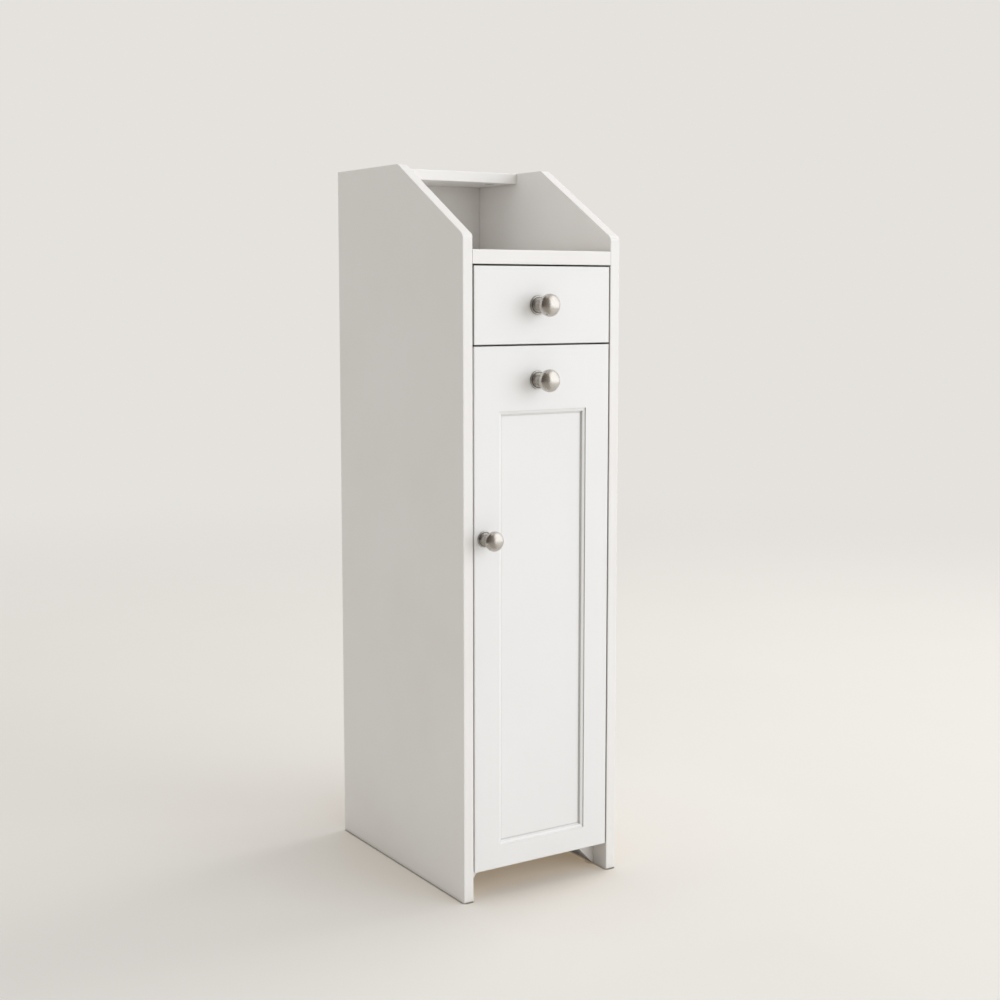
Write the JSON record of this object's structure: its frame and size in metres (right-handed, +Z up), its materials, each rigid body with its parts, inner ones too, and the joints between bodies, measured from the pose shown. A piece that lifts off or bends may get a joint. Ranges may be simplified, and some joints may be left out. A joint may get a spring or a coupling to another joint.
{
  "type": "toilet roll storage cabinet",
  "caption": "Narrow free-standing bathroom cabinet with an open top tray between sloped sides, a drawer, and a tall panelled cupboard door with round knobs.",
  "frame": {"origin": "on the floor, midway between the outer faces of the sides and midway between the knobs' front and the sides' rear edges", "axes": "+Z up from the floor, the fronts face -Y, +X to the right of a viewer who faces the fronts"},
  "size_m": [0.2, 0.31, 0.79],
  "materials": {
    "painted_board": "satin white paint on fibreboard",
    "painted_front": "satin white paint on fibreboard, moulded edges",
    "painted_hardboard": "white painted face, thin hardboard",
    "drawer_board": "white melamine foil on board",
    "drawer_hardboard": "white foil on thin hardboard",
    "beech": "bare planed beech",
    "satin_nickel": "satin nickel plate, turned",
    "nickel_plate": "bright nickel plate on pressed steel",
    "zinc_steel": "zinc plated steel",
    "white_plastic": "moulded white plastic",
    "ferrite": "dark sintered ferrite"
  },
  "bodies": {
    "carcass": {"side_panel_left": "painted_board", "side_panel_right": "painted_board", "top_board": "painted_board", "tray_shelf": "painted_board", "divider_board": "painted_board", "bottom_board": "painted_board", "plinth_rail": "painted_board", "back_panel": "painted_hardboard", "shelf_upper": "painted_board", "shelf_lower": "painted_board", "shelf_pins": "zinc_steel", "cam_locks": "zinc_steel", "cam_bolts": "zinc_steel", "board_dowels": "beech", "back_panel_pins": "zinc_steel", "plinth_screws": "zinc_steel", "runner_strip_left": "beech", "runner_strip_right": "beech", "runner_screws": "zinc_steel", "hinge_arm_upper": "nickel_plate", "hinge_arm_lower": "nickel_plate", "hinge_arm_screws": "zinc_steel", "catch_case": "white_plastic", "catch_magnet": "ferrite", "catch_pole_plates": "zinc_steel", "catch_screws": "zinc_steel"},
    "door": {"door_stile_left": "painted_front", "door_stile_right": "painted_front", "door_rail_top": "painted_front", "door_rail_bottom": "painted_front", "door_panel": "painted_front", "hinge_cup_upper": "nickel_plate", "hinge_cup_lower": "nickel_plate", "hinge_pins": "zinc_steel", "hinge_cup_screws": "zinc_steel", "strike_plate": "zinc_steel", "strike_plate_screw": "zinc_steel", "door_rail_knob": "satin_nickel", "door_rail_knob_rose": "satin_nickel", "door_stile_knob": "satin_nickel", "door_stile_knob_rose": "satin_nickel", "door_knob_screws": "zinc_steel"},
    "drawer": {"drawer_front": "painted_front", "drawer_side_left": "drawer_board", "drawer_side_right": "drawer_board", "drawer_back": "drawer_board", "drawer_bottom": "drawer_hardboard", "drawer_cam_locks": "zinc_steel", "drawer_cam_bolts": "zinc_steel", "drawer_dowels": "beech", "drawer_back_screws": "zinc_steel", "drawer_bottom_pins": "zinc_steel", "drawer_knob": "satin_nickel", "drawer_knob_rose": "satin_nickel", "drawer_knob_screw": "zinc_steel"}
  },
  "joints": [
    {"name": "door_swing", "type": "hinge", "parent": "carcass", "child": "door", "pos_m": [0.0725, -0.1185, 0.313], "axis": [0, 0, 1], "range_deg": [0, 95]},
    {"name": "drawer_slide", "type": "slide", "parent": "carcass", "child": "drawer", "axis": [0, -1, 0], "range_m": [0, 0.17]}
  ]
}
